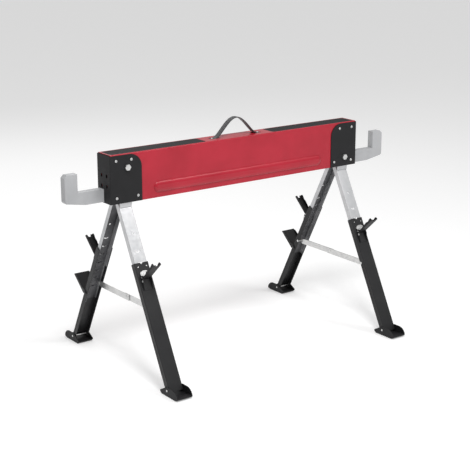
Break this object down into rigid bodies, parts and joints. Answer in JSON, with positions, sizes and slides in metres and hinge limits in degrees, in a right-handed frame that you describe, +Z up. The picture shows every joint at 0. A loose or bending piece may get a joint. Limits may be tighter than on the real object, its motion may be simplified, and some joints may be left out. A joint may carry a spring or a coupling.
{
  "type": "folding sawhorse",
  "caption": "Folding steel sawhorse with a red beam, height-adjustable splayed legs, lever latches, swivel feet, end support arms and a webbing handle.",
  "frame": {"origin": "on the floor under the middle of the beam", "axes": "+X along the beam, +Z up, front legs towards -Y"},
  "size_m": [1.256, 0.6868, 0.7595],
  "materials": {
    "red_paint": "satin powder coat",
    "black_paint": "satin powder coat",
    "grey_paint": "satin powder coat",
    "bright_steel": "galvanised sheet",
    "zinc_steel": "zinc plated",
    "black_plastic": "moulded, fine grain",
    "pad_rubber": "ribbed",
    "webbing": "woven strap"
  },
  "bodies": {
    "beam": {"beam_shell": "red_paint", "top_pad_left": "pad_rubber", "top_pad_right": "pad_rubber", "cap_screws": "zinc_steel", "pivot_bolts": "zinc_steel", "pivot_nuts": "zinc_steel", "carry_handle": "webbing", "handle_rivets": "zinc_steel", "end_cap_left": "black_plastic", "end_cap_right": "black_plastic"},
    "arm_left": {"support_arm_left": "grey_paint"},
    "hanger_left": {"pivot_bush_left": "zinc_steel"},
    "bracket_left": {"leg_bracket_left": "bright_steel"},
    "pin_front_left": {"hinge_pin_front_left": "zinc_steel"},
    "upper_front_left": {"upper_leg_front_left": "bright_steel"},
    "lower_front_left": {"lower_leg_front_left": "black_paint", "latch_bracket_front_left": "black_paint", "leg_rivets_front_left": "zinc_steel"},
    "tongue_front_left": {"lock_tongue_front_left": "zinc_steel"},
    "lever_front_left": {"latch_lever_front_left": "black_plastic"},
    "shoe_front_left": {"foot_front_left": "black_plastic"},
    "bracepin_front_left": {"brace_pin_front_left": "zinc_steel"},
    "strap_front_left": {"brace_strap_front_left": "zinc_steel"},
    "pin_rear_left": {"hinge_pin_rear_left": "zinc_steel"},
    "upper_rear_left": {"upper_leg_rear_left": "bright_steel"},
    "lower_rear_left": {"lower_leg_rear_left": "black_paint", "latch_bracket_rear_left": "black_paint", "leg_rivets_rear_left": "zinc_steel"},
    "tongue_rear_left": {"lock_tongue_rear_left": "zinc_steel"},
    "lever_rear_left": {"latch_lever_rear_left": "black_plastic"},
    "shoe_rear_left": {"foot_rear_left": "black_plastic"},
    "bracepin_rear_left": {"brace_pin_rear_left": "zinc_steel"},
    "strap_rear_left": {"brace_strap_rear_left": "zinc_steel"},
    "plate_left": {"support_plate_left": "black_paint"},
    "arm_right": {"support_arm_right": "grey_paint"},
    "hanger_right": {"pivot_bush_right": "zinc_steel"},
    "bracket_right": {"leg_bracket_right": "bright_steel"},
    "pin_front_right": {"hinge_pin_front_right": "zinc_steel"},
    "upper_front_right": {"upper_leg_front_right": "bright_steel"},
    "lower_front_right": {"lower_leg_front_right": "black_paint", "latch_bracket_front_right": "black_paint", "leg_rivets_front_right": "zinc_steel"},
    "tongue_front_right": {"lock_tongue_front_right": "zinc_steel"},
    "lever_front_right": {"latch_lever_front_right": "black_plastic"},
    "shoe_front_right": {"foot_front_right": "black_plastic"},
    "bracepin_front_right": {"brace_pin_front_right": "zinc_steel"},
    "strap_front_right": {"brace_strap_front_right": "zinc_steel"},
    "pin_rear_right": {"hinge_pin_rear_right": "zinc_steel"},
    "upper_rear_right": {"upper_leg_rear_right": "bright_steel"},
    "lower_rear_right": {"lower_leg_rear_right": "black_paint", "latch_bracket_rear_right": "black_paint", "leg_rivets_rear_right": "zinc_steel"},
    "tongue_rear_right": {"lock_tongue_rear_right": "zinc_steel"},
    "lever_rear_right": {"latch_lever_rear_right": "black_plastic"},
    "shoe_rear_right": {"foot_rear_right": "black_plastic"},
    "bracepin_rear_right": {"brace_pin_rear_right": "zinc_steel"},
    "strap_rear_right": {"brace_strap_rear_right": "zinc_steel"},
    "plate_right": {"support_plate_right": "black_paint"}
  },
  "joints": [
    {"name": "arm_slide_left", "type": "slide", "parent": "beam", "child": "arm_left", "axis": [-1, 0, 0], "range_m": [0, 0.02]},
    {"name": "tuck_left", "type": "hinge", "parent": "beam", "child": "hanger_left", "pos_m": [-0.434, 0, 0.65565], "axis": [0, -1, 0], "range_deg": [0, 24]},
    {"name": "fold_left", "type": "hinge", "parent": "hanger_left", "child": "bracket_left", "pos_m": [-0.434, 0, 0.65565], "axis": [0, -1, 0], "range_deg": [0, 66]},
    {"name": "narrow_front_left", "type": "hinge", "parent": "bracket_left", "child": "pin_front_left", "pos_m": [-0.439, -0.0115, 0.54915], "axis": [1, 0, 0], "range_deg": [0, 8.1]},
    {"name": "close_front_left", "type": "hinge", "parent": "pin_front_left", "child": "upper_front_left", "pos_m": [-0.439, -0.0115, 0.54915], "axis": [1, 0, 0], "range_deg": [0, 27.6]},
    {"name": "height_front_left", "type": "slide", "parent": "upper_front_left", "child": "lower_front_left", "axis": [0, 0.4602, 0.8878], "range_m": [-0.1376, 0]},
    {"name": "lock_front_left", "type": "slide", "parent": "lower_front_left", "child": "tongue_front_left", "axis": [0, -0.8878, 0.4602], "range_m": [0, 0.0023]},
    {"name": "lever_swing_front_left", "type": "hinge", "parent": "lower_front_left", "child": "lever_front_left", "pos_m": [-0.439, -0.14075, 0.33456], "axis": [-1, 0, 0], "range_deg": [0, 74.6]},
    {"name": "foot_turn_front_left", "type": "hinge", "parent": "lower_front_left", "child": "shoe_front_left", "pos_m": [-0.439, -0.28938, 0.0185], "axis": [-1, 0, 0], "range_deg": [0, 118]},
    {"name": "brace_root_front_left", "type": "hinge", "parent": "lower_front_left", "child": "bracepin_front_left", "pos_m": [-0.439, -0.17181, 0.22901], "axis": [1, 0, 0], "range_deg": [0, 61]},
    {"name": "brace_level_front_left", "type": "hinge", "parent": "bracepin_front_left", "child": "strap_front_left", "pos_m": [-0.439, -0.17181, 0.22901], "axis": [1, 0, 0], "range_deg": [-8.1, 0]},
    {"name": "narrow_rear_left", "type": "hinge", "parent": "bracket_left", "child": "pin_rear_left", "pos_m": [-0.439, 0.0115, 0.54915], "axis": [-1, 0, 0], "range_deg": [0, 8.1]},
    {"name": "close_rear_left", "type": "hinge", "parent": "pin_rear_left", "child": "upper_rear_left", "pos_m": [-0.439, 0.0115, 0.54915], "axis": [-1, 0, 0], "range_deg": [0, 27.6]},
    {"name": "height_rear_left", "type": "slide", "parent": "upper_rear_left", "child": "lower_rear_left", "axis": [0, -0.4602, 0.8878], "range_m": [-0.1376, 0]},
    {"name": "lock_rear_left", "type": "slide", "parent": "lower_rear_left", "child": "tongue_rear_left", "axis": [0, 0.8878, 0.4602], "range_m": [0, 0.0023]},
    {"name": "lever_swing_rear_left", "type": "hinge", "parent": "lower_rear_left", "child": "lever_rear_left", "pos_m": [-0.439, 0.14075, 0.33456], "axis": [1, 0, 0], "range_deg": [0, 74.6]},
    {"name": "foot_turn_rear_left", "type": "hinge", "parent": "lower_rear_left", "child": "shoe_rear_left", "pos_m": [-0.439, 0.28938, 0.0185], "axis": [1, 0, 0], "range_deg": [0, 118]},
    {"name": "brace_root_rear_left", "type": "hinge", "parent": "lower_rear_left", "child": "bracepin_rear_left", "pos_m": [-0.439, 0.17181, 0.22901], "axis": [-1, 0, 0], "range_deg": [0, 61]},
    {"name": "brace_level_rear_left", "type": "hinge", "parent": "bracepin_rear_left", "child": "strap_rear_left", "pos_m": [-0.439, 0.17181, 0.22901], "axis": [-1, 0, 0], "range_deg": [-8.1, 0]},
    {"name": "plate_swing_left", "type": "hinge", "parent": "lower_rear_left", "child": "plate_left", "pos_m": [-0.439, 0.19551, 0.1985], "axis": [1, 0, 0], "range_deg": [0, 76]},
    {"name": "arm_slide_right", "type": "slide", "parent": "beam", "child": "arm_right", "axis": [1, 0, 0], "range_m": [0, 0.02]},
    {"name": "tuck_right", "type": "hinge", "parent": "beam", "child": "hanger_right", "pos_m": [0.442, 0, 0.57665], "axis": [0, 1, 0], "range_deg": [0, 24]},
    {"name": "fold_right", "type": "hinge", "parent": "hanger_right", "child": "bracket_right", "pos_m": [0.442, 0, 0.57665], "axis": [0, 1, 0], "range_deg": [0, 66]},
    {"name": "narrow_front_right", "type": "hinge", "parent": "bracket_right", "child": "pin_front_right", "pos_m": [0.439, -0.0115, 0.54915], "axis": [1, 0, 0], "range_deg": [0, 8.1]},
    {"name": "close_front_right", "type": "hinge", "parent": "pin_front_right", "child": "upper_front_right", "pos_m": [0.439, -0.0115, 0.54915], "axis": [1, 0, 0], "range_deg": [0, 27.6]},
    {"name": "height_front_right", "type": "slide", "parent": "upper_front_right", "child": "lower_front_right", "axis": [0, 0.4602, 0.8878], "range_m": [-0.1376, 0]},
    {"name": "lock_front_right", "type": "slide", "parent": "lower_front_right", "child": "tongue_front_right", "axis": [0, -0.8878, 0.4602], "range_m": [0, 0.0023]},
    {"name": "lever_swing_front_right", "type": "hinge", "parent": "lower_front_right", "child": "lever_front_right", "pos_m": [0.439, -0.14075, 0.33456], "axis": [-1, 0, 0], "range_deg": [0, 74.6]},
    {"name": "foot_turn_front_right", "type": "hinge", "parent": "lower_front_right", "child": "shoe_front_right", "pos_m": [0.439, -0.28938, 0.0185], "axis": [-1, 0, 0], "range_deg": [0, 118]},
    {"name": "brace_root_front_right", "type": "hinge", "parent": "lower_front_right", "child": "bracepin_front_right", "pos_m": [0.439, -0.17181, 0.22901], "axis": [1, 0, 0], "range_deg": [0, 61]},
    {"name": "brace_level_front_right", "type": "hinge", "parent": "bracepin_front_right", "child": "strap_front_right", "pos_m": [0.439, -0.17181, 0.22901], "axis": [1, 0, 0], "range_deg": [-8.1, 0]},
    {"name": "narrow_rear_right", "type": "hinge", "parent": "bracket_right", "child": "pin_rear_right", "pos_m": [0.439, 0.0115, 0.54915], "axis": [-1, 0, 0], "range_deg": [0, 8.1]},
    {"name": "close_rear_right", "type": "hinge", "parent": "pin_rear_right", "child": "upper_rear_right", "pos_m": [0.439, 0.0115, 0.54915], "axis": [-1, 0, 0], "range_deg": [0, 27.6]},
    {"name": "height_rear_right", "type": "slide", "parent": "upper_rear_right", "child": "lower_rear_right", "axis": [0, -0.4602, 0.8878], "range_m": [-0.1376, 0]},
    {"name": "lock_rear_right", "type": "slide", "parent": "lower_rear_right", "child": "tongue_rear_right", "axis": [0, 0.8878, 0.4602], "range_m": [0, 0.0023]},
    {"name": "lever_swing_rear_right", "type": "hinge", "parent": "lower_rear_right", "child": "lever_rear_right", "pos_m": [0.439, 0.14075, 0.33456], "axis": [1, 0, 0], "range_deg": [0, 74.6]},
    {"name": "foot_turn_rear_right", "type": "hinge", "parent": "lower_rear_right", "child": "shoe_rear_right", "pos_m": [0.439, 0.28938, 0.0185], "axis": [1, 0, 0], "range_deg": [0, 118]},
    {"name": "brace_root_rear_right", "type": "hinge", "parent": "lower_rear_right", "child": "bracepin_rear_right", "pos_m": [0.439, 0.17181, 0.22901], "axis": [-1, 0, 0], "range_deg": [0, 61]},
    {"name": "brace_level_rear_right", "type": "hinge", "parent": "bracepin_rear_right", "child": "strap_rear_right", "pos_m": [0.439, 0.17181, 0.22901], "axis": [-1, 0, 0], "range_deg": [-8.1, 0]},
    {"name": "plate_swing_right", "type": "hinge", "parent": "lower_rear_right", "child": "plate_right", "pos_m": [0.439, 0.19551, 0.1985], "axis": [1, 0, 0], "range_deg": [0, 76]}
  ],
  "couplings": [
    {"joint": "close_front_left", "follows": "fold_left", "ratio": 0.41515},
    {"joint": "foot_turn_front_left", "follows": "fold_left", "ratio": 1.7788},
    {"joint": "brace_root_front_left", "follows": "fold_left", "ratio": 0.91561},
    {"joint": "narrow_front_left", "follows": "height_front_left", "rad_per_m": -1.0084},
    {"joint": "brace_level_front_left", "follows": "height_front_left", "rad_per_m": 1.0084},
    {"joint": "lock_front_left", "follows": "lever_swing_front_left", "m_per_rad": 0.00169},
    {"joint": "close_rear_left", "follows": "fold_left", "ratio": 0.41515},
    {"joint": "foot_turn_rear_left", "follows": "fold_left", "ratio": 1.7788},
    {"joint": "brace_root_rear_left", "follows": "fold_left", "ratio": 0.91561},
    {"joint": "narrow_rear_left", "follows": "height_front_left", "rad_per_m": -1.0084},
    {"joint": "brace_level_rear_left", "follows": "height_front_left", "rad_per_m": 1.0084},
    {"joint": "lock_rear_left", "follows": "lever_swing_rear_left", "m_per_rad": 0.00169},
    {"joint": "height_rear_left", "follows": "height_front_left", "ratio": 1},
    {"joint": "close_front_right", "follows": "fold_right", "ratio": 0.41515},
    {"joint": "foot_turn_front_right", "follows": "fold_right", "ratio": 1.7788},
    {"joint": "brace_root_front_right", "follows": "fold_right", "ratio": 0.91561},
    {"joint": "narrow_front_right", "follows": "height_front_right", "rad_per_m": -1.0084},
    {"joint": "brace_level_front_right", "follows": "height_front_right", "rad_per_m": 1.0084},
    {"joint": "lock_front_right", "follows": "lever_swing_front_right", "m_per_rad": 0.00169},
    {"joint": "close_rear_right", "follows": "fold_right", "ratio": 0.41515},
    {"joint": "foot_turn_rear_right", "follows": "fold_right", "ratio": 1.7788},
    {"joint": "brace_root_rear_right", "follows": "fold_right", "ratio": 0.91561},
    {"joint": "narrow_rear_right", "follows": "height_front_right", "rad_per_m": -1.0084},
    {"joint": "brace_level_rear_right", "follows": "height_front_right", "rad_per_m": 1.0084},
    {"joint": "lock_rear_right", "follows": "lever_swing_rear_right", "m_per_rad": 0.00169},
    {"joint": "height_rear_right", "follows": "height_front_right", "ratio": 1}
  ]
}
